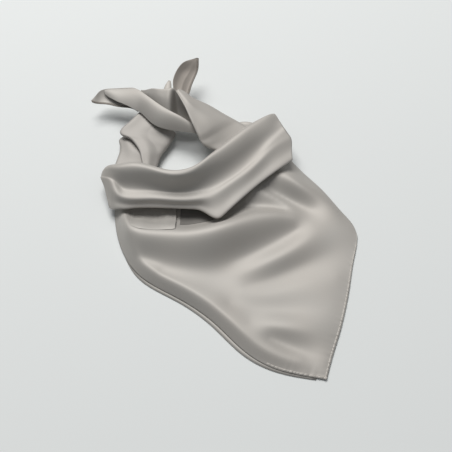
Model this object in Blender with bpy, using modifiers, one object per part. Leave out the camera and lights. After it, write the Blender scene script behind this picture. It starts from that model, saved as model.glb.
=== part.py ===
"""A satin neckerchief: one square folded corner to corner, tied behind and laid down on its front.

Each stretch of the cloth that shows is one named sheet. Millimetres, +Z up, the camera side at -Y, and the
origin under the middle of the whole scarf, on the surface that it lies on.
"""

from collections import namedtuple

import bmesh
import bpy
import numpy as np

# Driving sizes, in millimetres.
MM = 0.001
WALL = 1.4  # thickness of one layer of cloth
SEAM = 0.3  # gap between two pieces that touch
HEM = 3.0  # width of the rolled hem
HEM_WALL = 1.8  # its thickness
BIB_WIDTH = 190.0  # mean width of the bib, from its left side to its right fold
BIB_LENGTH = 210.0  # mean length, from its top to the right hem
FLOOR_LAYER = 0.5 * WALL  # middle of a layer that lies on the floor
SECOND_LAYER = 1.5 * WALL + SEAM  # middle of the layer that lies on it
CENTRE = (0.5, 3.3, 0.0)  # brings the middle of the laid scarf over the origin

UP = np.array((0.0, 0.0, 1.0))

SATIN = (0.47, 0.44, 0.41, 1.0)
HEM_SATIN = (0.42, 0.39, 0.36, 1.0)
SATIN_ROUGHNESS = 0.35

# One section across the neck roll at the front, from its high rim through the valley and the crest down to
# its low edge. Behind the rim the wall stands off by deep and ends at the height back. curl is how far the
# low edge turns under.
Roll = namedtuple("Roll", "rim valley crest edge deep back curl")

NECK_ROLL = (
    Roll((-136, 41, 20), (-138, 33, 18), (-133, 21, 16), (-126, -4, 11), 2, 11, 4),
    Roll((-131, 40, 28), (-131, 27, 25), (-126, 13, 22), (-121, -8, 13), 3, 18, 5),
    Roll((-124, 38, 34), (-122, 21, 27.5), (-118, 6, 25), (-116, -9, 15), 4, 22, 6),
    Roll((-115, 36, 38), (-113, 15, 24), (-110, 2, 24.3), (-108, -9, 15), 5, 23, 8),
    Roll((-104, 36, 41), (-103, 12, 23.4), (-101, 0, 24), (-99, -8, 15), 5, 23, 8),
    Roll((-80, 31, 43), (-80, 11, 23.2), (-78, 0, 24), (-77, -7, 15), 5, 22, 8),
    Roll((-51, 21, 45), (-52, 8, 23.2), (-52, -2, 24), (-51, -8, 15), 5, 10, 8),
    Roll((-29, 27, 45), (-33, 9, 23.2), (-33, -2, 24), (-31, -9, 15), 5, 10, 8),
    Roll((-14, 41, 44), (-19, 12, 23.2), (-18, 0, 24), (-17, -13, 15), 5, 20, 8),
    Roll((-5, 51, 43), (-9, 15, 23.4), (-7, 3, 24), (-3, -22, 16), 5, 28, 8),
    Roll((4, 60, 42), (4, 22, 24), (6, 12, 25), (7, -17, 17), 5, 31, 8),
    Roll((15, 72, 41), (19, 33, 25), (21, 24, 26), (21, -3, 19), 5, 31, 8),
    Roll((30, 87, 40), (35, 48, 26), (38, 39, 27), (42, 18, 20), 5, 30, 8),
    Roll((46, 101, 38), (50, 63, 28), (54, 56, 28), (60, 34, 21), 4, 28, 8),
    Roll((61, 113, 35), (63, 78, 30), (69, 71, 29), (75, 46, 22), 3, 27, 6),
    Roll((68, 118, 31), (79, 96, 30), (86, 84, 28), (87, 56, 22), 3, 24, 5),
)

# One section across a flat strip of cloth, from a to b. crown lifts its middle above the line between them.
# drop_a and drop_b are how far the cloth rolls down past each, and roll_a and roll_b how far it turns in.
Strip = namedtuple("Strip", "a b crown drop_a roll_a drop_b roll_b", defaults=(0, 2, 0, 2))

SIDE_LEFT = (
    Strip(a=(-99, 130, 20), b=(-54, 104, 14), crown=3, drop_a=10, roll_a=4, drop_b=10),
    Strip(a=(-112, 114, 18.6), b=(-57, 97, 13), crown=3, drop_a=9, roll_a=4, drop_b=9),
    Strip(a=(-120, 104, 17.4), b=(-60, 91, 12), crown=3.2, drop_a=5, roll_a=2, drop_b=8),
    Strip(a=(-118, 98, 17), b=(-63, 85, 11.6), crown=3.4, drop_a=3, roll_a=1, drop_b=8),
    Strip(a=(-110, 94, 17), b=(-66, 80, 11), crown=3.2, drop_a=3, roll_a=1, drop_b=7),
    Strip(a=(-102, 86, 16.6), b=(-69, 74, 11), crown=3, drop_a=3, roll_a=1, drop_b=7),
    Strip(a=(-96, 76, 16), b=(-71, 69, 10), crown=3, drop_a=3, roll_a=1, drop_b=6),
    Strip(a=(-92, 63, 15), b=(-74, 58, 9), crown=2, drop_a=3, roll_a=1, drop_b=6),
    Strip(a=(-90, 54, 14), b=(-76, 49, 9), crown=2, drop_a=3, roll_a=1, drop_b=6),
    Strip(a=(-88, 35, 13), b=(-79, 33.5, 9), crown=1, drop_a=3, roll_a=1, drop_b=6),
)

SIDE_LEFT_TUCK = (
    Strip(a=(-117, 103, 7), b=(-106, 100, 8), crown=1, drop_a=4),
    Strip(a=(-122, 97, 8), b=(-103, 92, 10), crown=2, drop_a=5),
    Strip(a=(-121, 90, 8), b=(-98, 84, 10), crown=3, drop_a=5),
    Strip(a=(-120, 81, 8), b=(-92, 75, 10.7), crown=3, drop_a=5),
    Strip(a=(-122, 69, 8), b=(-88, 65, 9.7), crown=2, drop_a=5),
    Strip(a=(-124, 59, 8), b=(-86, 55, 8), crown=2, drop_a=5),
    Strip(a=(-125, 46, 7), b=(-86, 44, 7), crown=2, drop_a=4),
    Strip(a=(-124, 36, 6), b=(-87, 35, 6), crown=1, drop_a=3),
)

SIDE_RIGHT = (
    Strip(a=(-52, 141, 47), b=(-48, 145, 46), crown=1, drop_a=3, roll_a=1, drop_b=14),
    Strip(a=(-46, 129, 46), b=(-42, 142, 45), crown=1, drop_a=3, roll_a=1, drop_b=18),
    Strip(a=(-40, 117, 44), b=(-32, 135, 42), crown=2, drop_a=3, roll_a=1, drop_b=20),
    Strip(a=(-34, 103, 41), b=(-17, 129, 38), crown=2, drop_a=3, roll_a=1, drop_b=22),
    Strip(a=(-27, 88, 36), b=(-2, 121, 34), crown=3, drop_a=4, roll_a=1, drop_b=22),
    Strip(a=(-20, 76, 30), b=(10, 114, 31), crown=3, drop_a=4, roll_a=1, drop_b=20),
    Strip(a=(-11, 72, 25), b=(20, 109, 28), crown=2, drop_a=3, roll_a=1, drop_b=17),
    Strip(a=(4, 68, 22), b=(33, 101, 25), crown=1, drop_a=3, roll_a=1, drop_b=14),
    Strip(a=(24, 56, 18), b=(54, 86, 20), crown=1, drop_a=3, roll_a=1, drop_b=8),
)

SIDE_RIGHT_UNDER = (
    Strip(a=(15, 115, 11), b=(18, 119, 11), crown=0),
    Strip(a=(24, 111.3, 16), b=(29, 117, 18), crown=1, drop_b=14),
    Strip(a=(36, 103.6, 16), b=(45, 114, 18), crown=1, drop_b=14),
    Strip(a=(56, 87, 13), b=(63, 101, 13), crown=1, drop_b=10),
)

KNOT_WRAP = (
    Strip(a=(-94, 146, 28), b=(-93, 154, 34), crown=1, drop_a=3, roll_a=1, drop_b=8, roll_b=0),
    Strip(a=(-86, 139, 29), b=(-84, 152, 39), crown=2, drop_a=3, roll_a=1, drop_b=12, roll_b=0),
    Strip(a=(-77, 130, 30), b=(-75, 148, 43), crown=3, drop_a=3, roll_a=1, drop_b=15, roll_b=0),
    Strip(a=(-67, 120, 30), b=(-65, 146, 45), crown=3, drop_a=3, roll_a=1, drop_b=16, roll_b=0),
    Strip(a=(-60, 115, 29), b=(-58, 146, 46), crown=2, drop_a=3, roll_a=1, drop_b=16, roll_b=0),
    Strip(a=(-54, 112, 25), b=(-54, 145, 43), crown=-5, drop_a=3, roll_a=1, drop_b=12, roll_b=0),
    Strip(a=(-47, 108, 20), b=(-49, 140, 37), crown=-6, drop_a=3, roll_a=1, drop_b=9, roll_b=0),
    Strip(a=(-39, 106, 17), b=(-42, 132, 31), crown=-4, drop_a=3, roll_a=1, drop_b=7, roll_b=0),
    Strip(a=(-32, 106, 16), b=(-35, 125, 25), crown=-2, drop_a=3, roll_a=1, drop_b=5, roll_b=0),
)

# The left tail is folded along its top: a is the free edge of each layer and b the fold.
TAIL_FRONT = (
    Strip(a=(-143, 156, 26), b=(-144, 160, 27), crown=0),
    Strip(a=(-139, 152, 26), b=(-139, 161, 28), crown=1),
    Strip(a=(-126, 143, 26), b=(-126, 161, 29), crown=1.5),
    Strip(a=(-114, 137, 25.5), b=(-112, 160, 31), crown=2),
    Strip(a=(-104, 131, 25), b=(-102, 157, 33), crown=2.5),
    Strip(a=(-97, 127, 24), b=(-94, 150, 34.3), crown=3),
    Strip(a=(-86, 115, 23.5), b=(-82, 138, 35.8), crown=3.2),
    Strip(a=(-73, 104, 24), b=(-68, 125, 36.8), crown=3.4),
    Strip(a=(-57, 98, 25), b=(-55, 115, 38), crown=3),
    Strip(a=(-41, 94, 27), b=(-40, 106, 36), crown=2),
    Strip(a=(-30, 92, 27), b=(-30, 100, 32), crown=1),
    Strip(a=(-22, 91, 24), b=(-22, 97, 27), crown=0),
)

TAIL_BACK = (
    Strip(a=(-158, 145, 22), b=(-159, 147, 23), crown=0),
    Strip(a=(-154, 144, 21), b=(-154, 153, 25), crown=0),
    Strip(a=(-147, 144, 20), b=(-149, 160, 26), crown=-1),
    Strip(a=(-138, 143, 20), b=(-139, 163, 27), crown=-2),
    Strip(a=(-128, 140, 20), b=(-126, 163, 28), crown=-2),
    Strip(a=(-116, 138, 20), b=(-113, 162, 30), crown=-2),
    Strip(a=(-107, 136, 20), b=(-104, 160, 31), crown=-2),
    Strip(a=(-100, 131, 20), b=(-98, 154, 31), crown=-2),
)

TAIL_UP = (
    Strip(a=(-57, 147.2, 31), b=(-42, 147, 22), crown=-1),
    Strip(a=(-57, 159, 28), b=(-38, 158, 21), crown=-2),
    Strip(a=(-58, 171, 30), b=(-35, 169, 24), crown=-3),
    Strip(a=(-56, 181, 33), b=(-31, 180, 27), crown=-3),
    Strip(a=(-51, 191, 36), b=(-27, 190, 31), crown=-3),
    Strip(a=(-43, 199, 38), b=(-26, 197, 35), crown=-1),
    Strip(a=(-36, 202, 38), b=(-26, 201, 37), crown=0),
    Strip(a=(-29, 204, 39), b=(-26, 204, 38), crown=0),
)

KNOT_CORNER = (
    Strip(a=(-71, 148.8, 30), b=(-61, 147.5, 30), crown=1),
    Strip(a=(-70, 159, 26), b=(-60, 158, 26), crown=1),
    Strip(a=(-68, 169, 26), b=(-60, 168, 26), crown=1),
    Strip(a=(-64, 176, 28), b=(-61, 176, 27), crown=0),
)

COWL_PLEAT = (
    Strip(a=(-101, -36, 20), b=(-102, 2, 5), crown=-3),
    Strip(a=(-93, -42, 21), b=(-94, 2, 5), crown=-3),
    Strip(a=(-80, -44, 21), b=(-81, 2, 5), crown=-3),
    Strip(a=(-66, -44, 21), b=(-66, 2, 5), crown=-3),
    Strip(a=(-56, -43, 21), b=(-57, 2, 5), crown=-2),
    Strip(a=(-51, -42, 21), b=(-52, 2, 6), crown=-1),
    Strip(a=(-48, -41, 20), b=(-49, 2, 5), crown=-1),
)

COWL_INNER = (
    Strip(a=(-44, -28, 8), b=(-44, 4, 5), crown=1),
    Strip(a=(-26, -24, 8), b=(-26, 4, 5), crown=1),
    Strip(a=(-6, -17, 7), b=(-6, 4, 5), crown=1),
)

# The bib in plan: the rolled left side and lower hem, the fold on the right, the top and the right hem.
BIB_LEFT = (
    (-122, 22), (-120, -10), (-108, -57), (-88, -87), (-45, -115), (-3, -146), (30, -179), (56, -195),
    (84, -203), (111, -208),
)
BACK_LEFT = (
    (-118, 20), (-117, -12), (-107, -58), (-89, -90), (-47, -118), (-5, -150), (27, -182), (53, -197),
    (82, -205), (107, -209),
)
BIB_RIGHT = ((84, 75), (101, 52), (122, 27), (144, -6), (155, -24), (158, -38))
BIB_TOP = ((-122, 22), (-60, 22), (0, 20), (30, 34), (52, 56), (84, 75))
BIB_HEM = (
    (111, -208), (120, -180), (128, -158), (137, -129), (144, -101), (151, -69), (156, -50), (158, -38),
)

# The bib's form, as lines along its ridges, valleys and borders. z is the height of the cloth's middle.
Spot = namedtuple("Spot", "x y z")

LEFT_EDGE = (
    Spot(-122, 22, 4.6), Spot(-120, -10, 7), Spot(-115, -34, 10), Spot(-108, -57, 10),
    Spot(-88, -87, 9.6), Spot(-45, -115, 9.4), Spot(-3, -146, 9.2), Spot(14, -162, 8.4),
    Spot(30, -179, 6.6), Spot(56, -195, 4), Spot(84, -203, 3), Spot(111, -208, 2.6),
)
LEFT_CREST = (
    Spot(-103, -54, 12.6), Spot(-97, -66, 12), Spot(-82, -79, 11.6), Spot(-56, -96, 11.2),
    Spot(-38, -107, 11.2), Spot(-17, -123, 11.2), Spot(3, -139, 11), Spot(16, -151, 10.6),
    Spot(30, -162, 9.6), Spot(49, -171, 8), Spot(68, -181, 6), Spot(86, -187, 4.4),
)
RIM_LEFT = (
    Spot(-113, 16, 4.6), Spot(-111, 2, 7), Spot(-109, -9, 9.6), Spot(-106, -19, 15), Spot(-103, -30, 20),
    Spot(-98, -41, 23), Spot(-88, -46, 24), Spot(-69, -47, 24), Spot(-48, -45, 24), Spot(-21, -39, 23.5),
    Spot(7, -30, 22.5), Spot(35, -20, 19.5), Spot(57, -14, 15.6), Spot(73, -14, 12.8), Spot(86, -18, 10),
)
RIM_FOOT = (
    Spot(-88, -69, 11), Spot(-66, -76, 10.4), Spot(-38, -80, 10), Spot(-10, -79, 9), Spot(18, -71, 7),
    Spot(45, -58, 5.6), Spot(68, -44, 5), Spot(88, -31, 5.4),
)
LEFT_FIELD = (
    Spot(-62, -87, 9.8), Spot(-34, -98, 9.4), Spot(-8, -110, 8.4),
)
PLEAT_BACK = (Spot(-96, -28, 16), Spot(-80, -32, 17), Spot(-64, -33, 17), Spot(-51, -32, 16))
PLEAT_LOW = (Spot(-97, -16, 4.4), Spot(-80, -17, 4), Spot(-64, -17, 4), Spot(-51, -17, 4))
UNDER_ROLL = (
    Spot(-104, 0, 3.4), Spot(-92, -3, 2.8), Spot(-72, -4, 2.8), Spot(-52, -4, 2.8), Spot(-30, -2, 2.8),
    Spot(-8, 0, 3), Spot(8, 8, 3.4),
)
UNDER_CORE = (Spot(-100, 12, 2.6), Spot(-70, 11, 2.4), Spot(-40, 11, 2.4), Spot(-10, 11, 2.4))
RIM_BACK = (Spot(-36, -30, 11), Spot(-21, -26, 9), Spot(-7, -24, 8), Spot(7, -20, 8), Spot(26, -12, 10))
POCKET = (
    Spot(-38, -18, 3), Spot(-15, -12, 3.4), Spot(6, -6, 4), Spot(22, -1, 4.6), Spot(36, 1, 5),
    Spot(50, 1, 5), Spot(64, -1, 5.2), Spot(76, -5, 5.6),
)
SMALL_RIM = (
    Spot(34, 24, 12.6), Spot(46, 20, 12), Spot(58, 14, 11), Spot(70, 9, 9.8), Spot(80, 2, 8.6),
    Spot(90, -6, 7.4),
)
UPPER_VALLEY = (
    Spot(44, 33, 11.6), Spot(57, 24, 8.6), Spot(68, 18, 6.4), Spot(80, 12, 4.8), Spot(95, 4, 4.2),
    Spot(108, -3, 4.4),
)
RIGHT_CREST = (
    Spot(56, 49, 12), Spot(63, 45, 14.4), Spot(74, 38, 14.6), Spot(86, 30, 13.8), Spot(102, 19, 11),
    Spot(116, 9, 8), Spot(128, -1, 6), Spot(140, -16, 4.4), Spot(150, -32, 3),
)
RIGHT_BAND = (
    Spot(90, 46, 10), Spot(98, 36, 9.6), Spot(112, 24, 8), Spot(125, 11, 6), Spot(137, -4, 4.6),
)
SECOND_VALLEY = (
    Spot(20, -76, 6.4), Spot(45, -66, 6.4), Spot(68, -55, 6.6), Spot(90, -40, 7), Spot(106, -26, 7.4),
)
SECOND_CREST = (
    Spot(22, -90, 6), Spot(44, -81, 8), Spot(64, -71, 9), Spot(84, -59, 9), Spot(102, -44, 8.4),
    Spot(118, -30, 7), Spot(130, -22, 6),
)
SECOND_FOOT = (
    Spot(30, -104, 4.6), Spot(50, -95, 3.8), Spot(72, -84, 3), Spot(94, -73, 2.8), Spot(114, -64, 3),
    Spot(134, -56, 3),
)
MIDDLE = (
    Spot(26, -110, 5.6), Spot(52, -113, 5), Spot(78, -106, 4.6), Spot(104, -96, 4.2), Spot(130, -90, 3.4),
)
LOWER_TROUGH = (
    Spot(12, -124, 6.2), Spot(42, -129, 4.4), Spot(76, -133, 4), Spot(104, -130, 3.8),
    Spot(122, -126, 3.2),
)
LOWER_SWELL = (
    Spot(34, -146, 7.4), Spot(58, -152, 7.6), Spot(80, -156, 7), Spot(102, -158, 5.2),
    Spot(118, -160, 3.4),
)
POINT_VALLEY = (
    Spot(54, -164, 5), Spot(66, -169, 3.4), Spot(78, -175, 2.7), Spot(90, -179, 2.6),
    Spot(102, -182, 2.8),
)
POINT = (Spot(96, -198, 2.6), Spot(106, -196, 2.6), Spot(112, -184, 2.6))
BIB_LINES = (
    LEFT_EDGE, LEFT_CREST, RIM_LEFT, RIM_FOOT, LEFT_FIELD, PLEAT_BACK, PLEAT_LOW, UNDER_ROLL, UNDER_CORE,
    RIM_BACK, POCKET, SMALL_RIM, UPPER_VALLEY, RIGHT_CREST, RIGHT_BAND, SECOND_VALLEY, SECOND_CREST,
    SECOND_FOOT, MIDDLE, LOWER_TROUGH, LOWER_SWELL, POINT_VALLEY, POINT,
)
EDGE_ROLL = 14.0  # how far in from its left side the cloth rolls down over its folded edge
LINE_SPACING = 6.0  # distance between the places where a line holds the cloth
FOLD_EASE = 60.0  # how far the cloth eases off those lines: more makes rounder ridges and valleys
BORDER_EASE = 2.0  # the same for its borders
HEM_LEFT_FROM = 0.82  # where along the bib's left side its hem starts to show


def spline(knots, values, at):
    """Values at the places in at, on the smooth curve that passes through values at knots."""
    knots, values, at = np.asarray(knots, float), np.asarray(values, float), np.asarray(at, float)
    steps = np.diff(knots)
    slopes = np.diff(values, axis=0) / steps[:, None]
    system, right = np.eye(len(knots)), np.zeros_like(values)
    for i in range(1, len(knots) - 1):
        system[i, i - 1 : i + 2] = steps[i - 1], 2 * (steps[i - 1] + steps[i]), steps[i]
        right[i] = 6 * (slopes[i] - slopes[i - 1])
    bend = np.linalg.solve(system, right)
    i = np.clip(np.searchsorted(knots, at, side="right") - 1, 0, len(knots) - 2)
    a = ((knots[i + 1] - at) / steps[i])[:, None]
    b = 1 - a
    curve = (a**3 - a) * bend[i] + (b**3 - b) * bend[i + 1]
    return a * values[i] + b * values[i + 1] + curve * (steps[i] ** 2)[:, None] / 6


def chords(points):
    """Places of the points along their own line, from 0 to 1."""
    lengths = np.linalg.norm(np.diff(np.asarray(points, float), axis=0), axis=1)
    return np.concatenate([[0], np.cumsum(lengths)]) / lengths.sum()


def mean_chords(lines):
    """One set of places for several lines with as many points each."""
    return np.mean([chords(line) for line in lines], axis=0)


def lofted(sections):
    """The smooth surface through sections, as a function of the places across (u) and along (v)."""
    grid = np.array(sections, float)
    along, across = mean_chords(grid.swapaxes(0, 1)), mean_chords(grid)

    def surface(u, v):
        by_section = spline(along, np.eye(len(along)), v)
        by_point = spline(across, np.eye(len(across)), u)
        return np.einsum("ns,nt,stk->nk", by_section, by_point, grid)

    return surface


def level(vector):
    """The unit vector along the level part of a vector."""
    flat = vector * (1, 1, 0)
    return flat / np.linalg.norm(flat)


def roll_section(row):
    """The points of one section of the neck roll."""
    rim, valley, crest, edge = (np.array(p, float) for p in (row.rim, row.valley, row.crest, row.edge))
    out, under = level(rim - valley), level(crest - edge)
    behind = rim + row.deep * out
    height = rim[2] - row.back
    return [
        behind - 0.2 * row.deep * out - UP * height,
        behind + 0.1 * row.deep * out - UP * 0.5 * height,
        behind - UP * 0.8 * row.deep,
        rim,
        rim + 0.35 * (valley - rim) + UP * 0.22 * (rim[2] - valley[2]),
        rim + 0.8 * (valley - rim) + UP * 0.1 * (rim[2] - valley[2]),
        valley,
        crest,
        crest + 0.6 * (edge - crest) + UP * 1.5,
        edge,
        edge + 0.5 * row.curl * under - UP * min(3, row.curl),
        edge + row.curl * under - UP * min(4, row.curl),
    ]


def crowned(row, t):
    """The place at t, from 0 at a to 1 at b, across a strip."""
    a, b = np.array(row.a, float), np.array(row.b, float)
    return a + t * (b - a) + UP * row.crown * (1 - (2 * t - 1) ** 2)


def strip_sections(rows):
    """The points across each row of a strip: its edges, a crowned middle, and the cloth past its edges."""
    sections = []
    for row in rows:
        across = level(np.array(row.b, float) - row.a)
        points = [crowned(row, t) for t in (0, 0.15, 0.5, 0.85, 1)]
        if rows[0].drop_a:
            points.insert(0, points[0] + across * row.roll_a - UP * row.drop_a)
        if rows[0].drop_b:
            points.append(points[-1] - across * row.roll_b - UP * row.drop_b)
        sections.append(points)
    return sections


def core_ring(row, bottom, first=0.16, last=0.84):
    """One closed ring of the solid of hidden layers under a strip, from first to last across it."""
    a, b = np.array(row.a, float), np.array(row.b, float)
    slant = np.linalg.norm(b - a) / np.linalg.norm((b - a)[:2])
    under = UP * (0.5 * WALL + SEAM + 0.5) * slant
    tops = [crowned(row, t) - under for t in np.linspace(first, last, 5)]
    across = level(b - a)
    low = [tops[-1] * (1, 1, 0) + UP * bottom + across, tops[0] * (1, 1, 0) + UP * bottom - across]
    return tops + [tops[-1] + across - UP * 2.5] + low + [tops[0] - across - UP * 2.5]


def roll_core_ring(row, bottom):
    """One closed ring of the layers inside the neck roll."""
    rim, valley = np.array(row.rim, float), np.array(row.valley, float)
    out = level(rim - valley)
    front, back = valley + 2 * out, rim + (row.deep - 3) * out
    middle = rim + 0.35 * (valley - rim)
    return [
        front - UP * 3,
        middle + UP * 1.5,
        rim - UP * (0.5 * WALL + SEAM + 0.3),
        back - UP * 6,
        back * (1, 1, 0) + UP * (bottom + 2),
        back * (1, 1, 0) + UP * bottom - out * 2,
        front * (1, 1, 0) + UP * bottom + out * 2,
        front * (1, 1, 0) + UP * (bottom + 2),
    ]


def line_points(points, count):
    """A smooth line through points, at count even places."""
    points = np.array(points, float)
    return spline(chords(points), points, np.linspace(0, 1, count))


def bib_plan(u, v, outline=BIB_LEFT):
    """Places in plan on the bib, u from its left side to its right fold and v from its top to the hem."""
    left, right, top, hem = (np.array(p, float) for p in (outline, BIB_RIGHT, BIB_TOP, BIB_HEM))
    top[0], hem[0] = left[0], left[-1]
    on_left, on_right = (spline(chords(p), p, v) for p in (left, right))
    on_top, on_hem = (spline(chords(p), p, u) for p in (top, hem))
    u, v = u[:, None], v[:, None]
    corners = (1 - v) * ((1 - u) * left[0] + u * right[0]) + v * ((1 - u) * left[-1] + u * right[-1])
    return (1 - u) * on_left + u * on_right + (1 - v) * on_top + v * on_hem - corners


def held_places(line):
    """Places along a line, close enough to hold the cloth to its height all along."""
    points = np.array(line, float)
    length = np.linalg.norm(np.diff(points, axis=0), axis=1).sum()
    return line_points(points, max(2, round(length / LINE_SPACING)))


def bib_places():
    """All the places that hold the bib's form, its border too, and how far it may ease off each."""
    border = [[(x, y, SECOND_LAYER) for x, y in side] for side in (BIB_RIGHT, BIB_TOP, BIB_HEM)]
    inside = np.concatenate([held_places(line) for line in BIB_LINES])
    edges = np.concatenate([held_places(line) for line in border])
    ease = np.concatenate([np.full(len(inside), FOLD_EASE), np.full(len(edges), BORDER_EASE)])
    return np.concatenate([inside, edges]), ease


def thin_plate(distance):
    """How a place's pull on a bent thin plate falls with distance."""
    return distance**2 * np.log(np.maximum(distance, 1e-6))


class Plate:
    """The smoothest surface through given places, bent as a thin plate bends."""

    def __init__(self, places, ease):
        self.x, self.y = places[:, 0], places[:, 1]
        count = len(places)
        away = np.hypot(self.x[:, None] - self.x, self.y[:, None] - self.y)
        flat = np.column_stack([np.ones(count), self.x, self.y])
        system = np.zeros((count + 3, count + 3))
        system[:count, :count] = thin_plate(away) + np.diag(ease)
        system[:count, count:], system[count:, :count] = flat, flat.T
        self.pull = np.linalg.solve(system, np.concatenate([places[:, 2], np.zeros(3)]))

    def height(self, x, y):
        away = np.hypot(x[:, None] - self.x, y[:, None] - self.y)
        return thin_plate(away) @ self.pull[:-3] + self.pull[-3] + self.pull[-2] * x + self.pull[-1] * y


BIB_PLATE = Plate(*bib_places())


LEFT_SIDE = line_points(BIB_LEFT, 800)


def bib_height(x, y):
    """How high the front layer of the bib lies at the places x, y."""
    height = np.maximum(BIB_PLATE.height(x, y), SECOND_LAYER)
    inside = np.hypot(x[:, None] - LEFT_SIDE[:, 0], y[:, None] - LEFT_SIDE[:, 1]).min(1)
    rolled = np.sin(0.5 * np.pi * np.clip(inside / EDGE_ROLL, 0, 1))
    return SECOND_LAYER + (height - SECOND_LAYER) * rolled


def bib_surface(u, v):
    """The front layer of the bib, with its folds."""
    plan = bib_plan(u, v)
    return np.column_stack([plan, bib_height(plan[:, 0], plan[:, 1])])


def resting(surface):
    """A sheet that lies on the bib: where the surface dips into the bib, it follows the bib's own form."""

    def lying(u, v):
        points = surface(u, v)
        x, y = points[:, 0], points[:, 1]
        under = bib_height(x, y)
        slope = np.hypot(bib_height(x + 0.5, y) - under, bib_height(x, y + 0.5) - under) / 0.5
        apart = (WALL + SEAM + 0.8) * np.sqrt(1 + slope**2)
        points[:, 2] = np.maximum(points[:, 2], under + apart)
        return points

    return lying


def back_surface(u, v):
    """The layer under it, flat on the floor. It shows only past the left side."""
    plan = bib_plan(0.98 * u, 0.01 + 0.97 * v, BACK_LEFT)
    return np.column_stack([plan, np.full(len(plan), FLOOR_LAYER)])


def part_of(surface, u_from, u_to, v_from, v_to):
    """The stretch of a surface between these places across and along."""

    def stretch(u, v):
        return surface(u_from + (u_to - u_from) * u, v_from + (v_to - v_from) * v)

    return stretch


def material(name, colour):
    satin = bpy.data.materials.new(name)
    satin.use_nodes = True
    shader = satin.node_tree.nodes["Principled BSDF"]
    shader.inputs["Base Color"].default_value = colour
    shader.inputs["Roughness"].default_value = SATIN_ROUGHNESS
    shader.inputs["Metallic"].default_value = 0.0
    return satin


def add(name, bm, colour):
    """An object in the collection, from a bmesh in millimetres, with its own material."""
    mesh = bpy.data.meshes.new(name)
    bmesh.ops.translate(bm, vec=CENTRE, verts=bm.verts)
    bmesh.ops.scale(bm, vec=(MM, MM, MM), verts=bm.verts)
    bm.to_mesh(mesh)
    bm.free()
    mesh.materials.append(material(name, colour))
    mesh.shade_smooth()
    made = bpy.data.objects.new(name, mesh)
    bpy.data.collections["neckerchief"].objects.link(made)
    return made


def sheet(name, surface, across, along, colour=SATIN, wall=WALL):
    """A cloth wall: a grid laid on surface(u, v) and given the thickness of the cloth."""
    bm = bmesh.new()
    bmesh.ops.create_grid(bm, x_segments=across, y_segments=along, size=0.5)
    places = np.array([vert.co[:2] for vert in bm.verts]) + 0.5
    for vert, point in zip(bm.verts, surface(places[:, 0], places[:, 1])):
        vert.co = point
    made = add(name, bm, colour)
    thickness = made.modifiers.new("cloth", "SOLIDIFY")
    thickness.thickness = wall * MM
    thickness.offset = 0
    return made


def core(name, rings, steps=2):
    """A closed solid through rings of points, with the folded layers' flat ends."""
    grid = np.array(rings, float)
    along = mean_chords(grid.swapaxes(0, 1))
    at = np.linspace(0, 1, steps * (len(rings) - 1) + 1)
    shape = spline(along, grid.reshape(len(rings), -1), at).reshape(len(at), -1, 3)
    bm = bmesh.new()
    loops = [[bm.verts.new(point) for point in ring] for ring in shape]
    for one, two in zip(loops, loops[1:]):
        for i in range(len(one)):
            j = (i + 1) % len(one)
            bm.faces.new((one[i], one[j], two[j], two[i]))
    bm.faces.new(loops[0][::-1])
    bm.faces.new(loops[-1])
    bmesh.ops.recalc_face_normals(bm, faces=bm.faces)
    return add(name, bm, SATIN)


def neck_roll():
    sheet("neck_roll", lofted([roll_section(row) for row in NECK_ROLL]), 24, 36)
    core("neck_roll_core", [roll_core_ring(row, 3.6) for row in NECK_ROLL[5:9]])


def bib():
    """Both layers, and the hems on the front one. The left hem lies outside the layer's border."""
    across, along = (HEM + SEAM) / BIB_WIDTH, (HEM + SEAM) / BIB_LENGTH
    seam_across, seam_along = 4 * SEAM / BIB_WIDTH, 3 * SEAM / BIB_LENGTH
    sheet("bib_front", part_of(bib_surface, 0, 1, 0, 1 - along - seam_along), 32, 34)
    sheet("bib_right_hem", part_of(bib_surface, -across, 1, 1 - along, 1), 30, 2, HEM_SATIN, HEM_WALL)
    left = part_of(bib_surface, -across, -seam_across, HEM_LEFT_FROM, 1 - along - seam_along)
    sheet("bib_left_hem", left, 2, 18, HEM_SATIN, HEM_WALL)
    sheet("bib_back", back_surface, 10, 22)


def hemmed(name, rows, across, along, hem_at_a):
    """A strip whose free edge at a or b has a hem of its own."""
    surface = lofted(strip_sections(rows))
    widths = [np.linalg.norm(np.subtract(row.b, row.a)) for row in rows]
    hem, seam = HEM / np.mean(widths), 2 * SEAM / np.mean(widths)
    if hem_at_a:
        cloth, edge = part_of(surface, hem + seam, 1, 0, 1), part_of(surface, 0, hem, 0, 1)
    else:
        cloth, edge = part_of(surface, 0, 1 - hem - seam, 0, 1), part_of(surface, 1 - hem, 1, 0, 1)
    sheet(name, cloth, across, along)
    sheet(name + "_hem", edge, 1, along, HEM_SATIN, HEM_WALL)


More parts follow.
